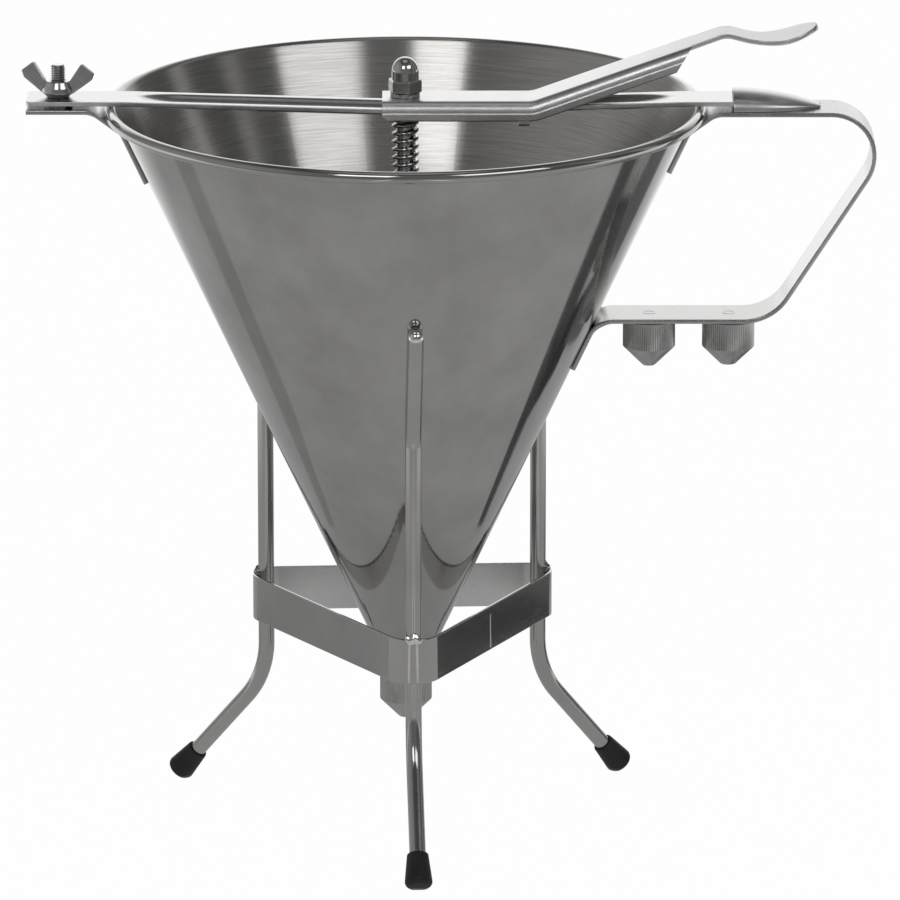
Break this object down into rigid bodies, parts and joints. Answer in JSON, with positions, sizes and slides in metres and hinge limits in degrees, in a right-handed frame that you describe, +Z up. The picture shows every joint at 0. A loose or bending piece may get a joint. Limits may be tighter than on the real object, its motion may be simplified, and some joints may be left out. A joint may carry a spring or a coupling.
{
  "type": "confectionery dispenser",
  "caption": "Conical steel funnel on a wire stand, with a spring-closed valve rod that a thumb lever lifts, a loop handle, a screw-on nozzle and spare nozzles under the handle.",
  "frame": {"origin": "on the hopper's axis, which is also the stand's axis, at floor level", "axes": "+Z up along the valve rod, crossbar and lever along X with the handle at +X, -Y towards the front leg"},
  "size_m": [0.2838, 0.2, 0.2736],
  "materials": {
    "hopper_steel": "polished outside, brushed round the inside",
    "strip_steel": "tumbled satin",
    "turned_steel": "turned",
    "spring_steel": "bright drawn wire",
    "stand_steel": "electropolished wire and strip",
    "foot_rubber": "matt moulded"
  },
  "bodies": {
    "stand": {"stand_band": "stand_steel", "leg_front": "stand_steel", "leg_right": "stand_steel", "leg_left": "stand_steel", "foot_front": "foot_rubber", "foot_right": "foot_rubber", "foot_left": "foot_rubber"},
    "hopper": {"hopper_cone": "hopper_steel", "outlet_spout": "turned_steel", "handle_strip": "strip_steel", "bar_socket": "strip_steel", "nozzle_stud_inner": "turned_steel", "nozzle_stud_outer": "turned_steel", "clamp_bracket": "strip_steel", "clamp_stud": "turned_steel", "spacer_washer": "turned_steel", "crossbar": "strip_steel", "closing_spring": "spring_steel"},
    "lever": {"thumb_lever": "strip_steel"},
    "rod": {"valve_rod": "turned_steel", "acorn_nut": "turned_steel", "lift_washer": "turned_steel", "spring_washer": "turned_steel", "stop_pin": "turned_steel", "valve_plug": "turned_steel"},
    "wing_nut": {"wing_nut": "turned_steel"},
    "outlet_nozzle": {"outlet_nozzle": "turned_steel"},
    "spare_nozzle_inner": {"spare_nozzle_inner": "turned_steel"},
    "spare_nozzle_outer": {"spare_nozzle_outer": "turned_steel"}
  },
  "joints": [
    {"name": "hopper_lift", "type": "slide", "parent": "stand", "child": "hopper", "axis": [0, 0, 1], "range_m": [0, 0.2]},
    {"name": "lever_press", "type": "hinge", "parent": "hopper", "child": "lever", "pos_m": [0.0449, 0, 0.2536], "axis": [0, 1, 0], "range_deg": [0, 12], "stiffness_Nm_per_rad": 6.6, "springref_deg": -3.44},
    {"name": "rod_lift", "type": "slide", "parent": "hopper", "child": "rod", "axis": [0, 0, 1], "range_m": [0, 0.0103], "deforming": ["closing_spring"]},
    {"name": "wing_nut_turn", "type": "hinge", "parent": "hopper", "child": "wing_nut", "pos_m": [-0.11525, 0, 0.254], "axis": [0, 0, 1], "continuous": true},
    {"name": "outlet_nozzle_turn", "type": "hinge", "parent": "hopper", "child": "outlet_nozzle", "pos_m": [0, 0, 0.045], "axis": [0, 0, 1], "continuous": true},
    {"name": "spare_inner_turn", "type": "hinge", "parent": "hopper", "child": "spare_nozzle_inner", "pos_m": [0.08147, 0, 0.168], "axis": [0, 0, 1], "continuous": true},
    {"name": "spare_outer_turn", "type": "hinge", "parent": "hopper", "child": "spare_nozzle_outer", "pos_m": [0.10797, 0, 0.168], "axis": [0, 0, 1], "continuous": true}
  ],
  "couplings": [
    {"joint": "lever_press", "follows": "rod_lift", "rad_per_m": 19.92}
  ]
}
